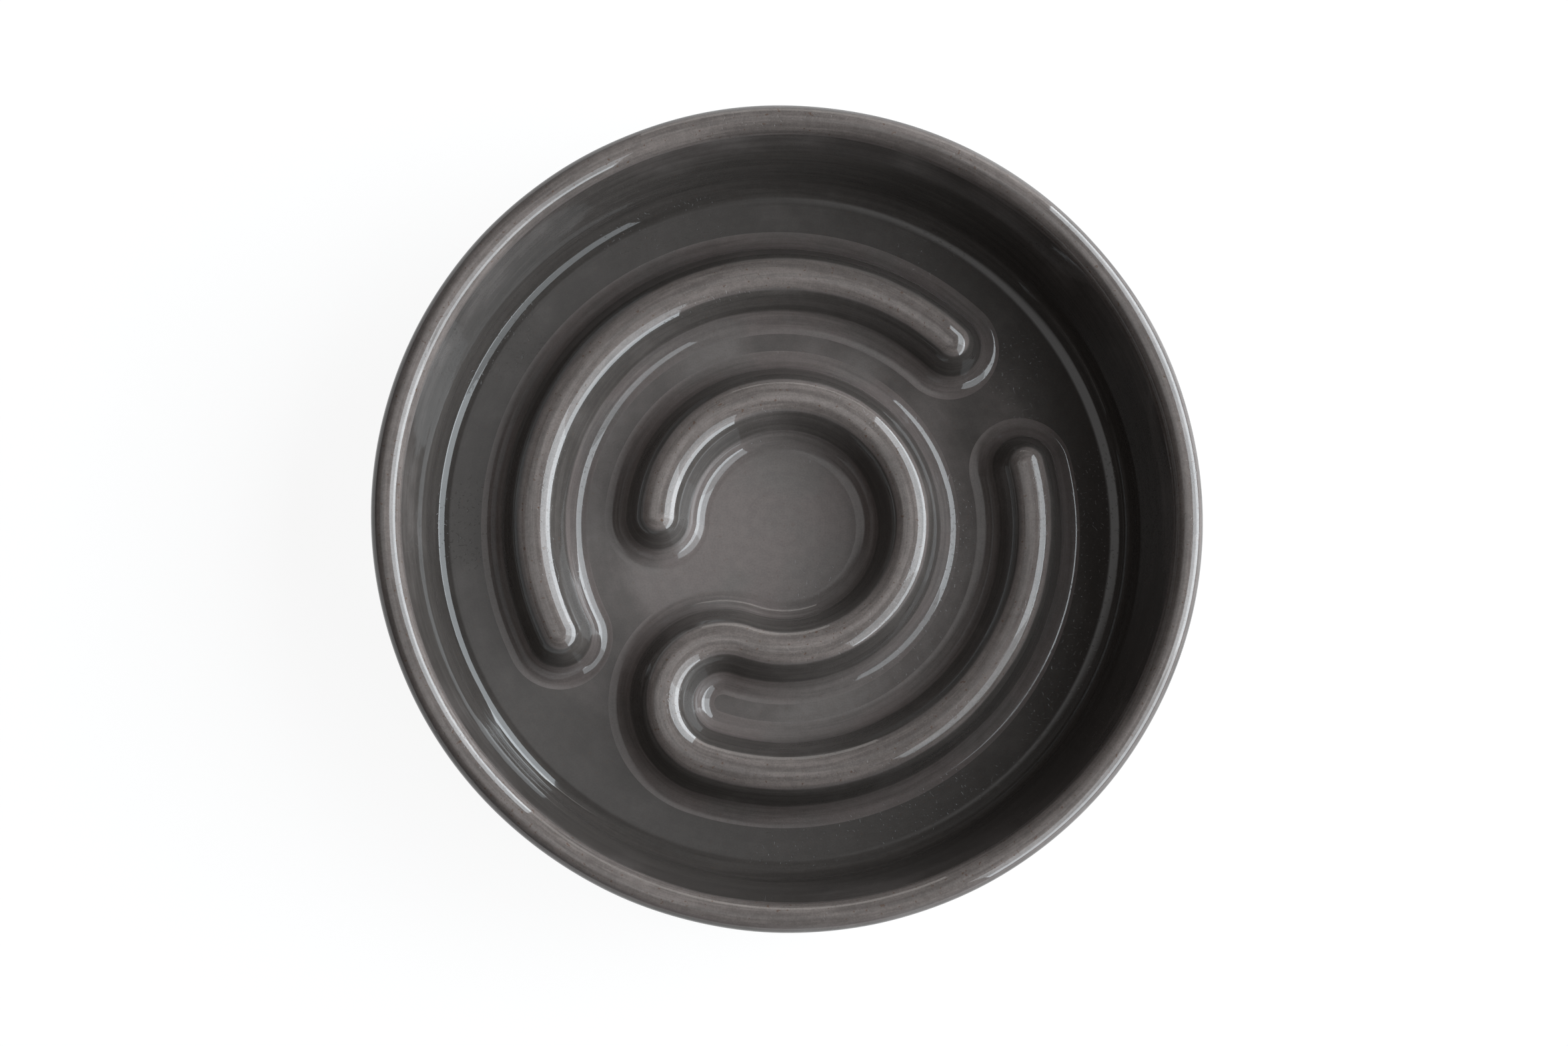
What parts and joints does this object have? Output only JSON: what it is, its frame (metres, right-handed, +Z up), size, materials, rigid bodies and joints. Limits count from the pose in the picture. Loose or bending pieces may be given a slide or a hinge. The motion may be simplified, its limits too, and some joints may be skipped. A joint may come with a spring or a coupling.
{
  "type": "slow feeder bowl",
  "caption": "Round glazed stoneware pet bowl with a rolled rim and raised maze ridges on its floor that slow eating.",
  "frame": {"origin": "middle of the face that the foot ring stands on", "axes": "+Z up, out of the bowl's mouth; the long ridge turns back on itself at bearing 251.5 degrees, counterclockwise from +X"},
  "size_m": [0.22, 0.22, 0.045],
  "materials": {
    "glaze": "warm dark grey gloss glaze, thinner and browner on the crowns of the ridges and the rim",
    "bare_clay": "bare fired stoneware, matt and slightly gritty"
  },
  "bodies": {
    "root": {"bowl_wall": "glaze", "bowl_heel": "glaze", "bowl_floor": "glaze", "foot_ring": "bare_clay", "long_ridge": "glaze", "short_ridge": "glaze"}
  },
  "joints": []
}
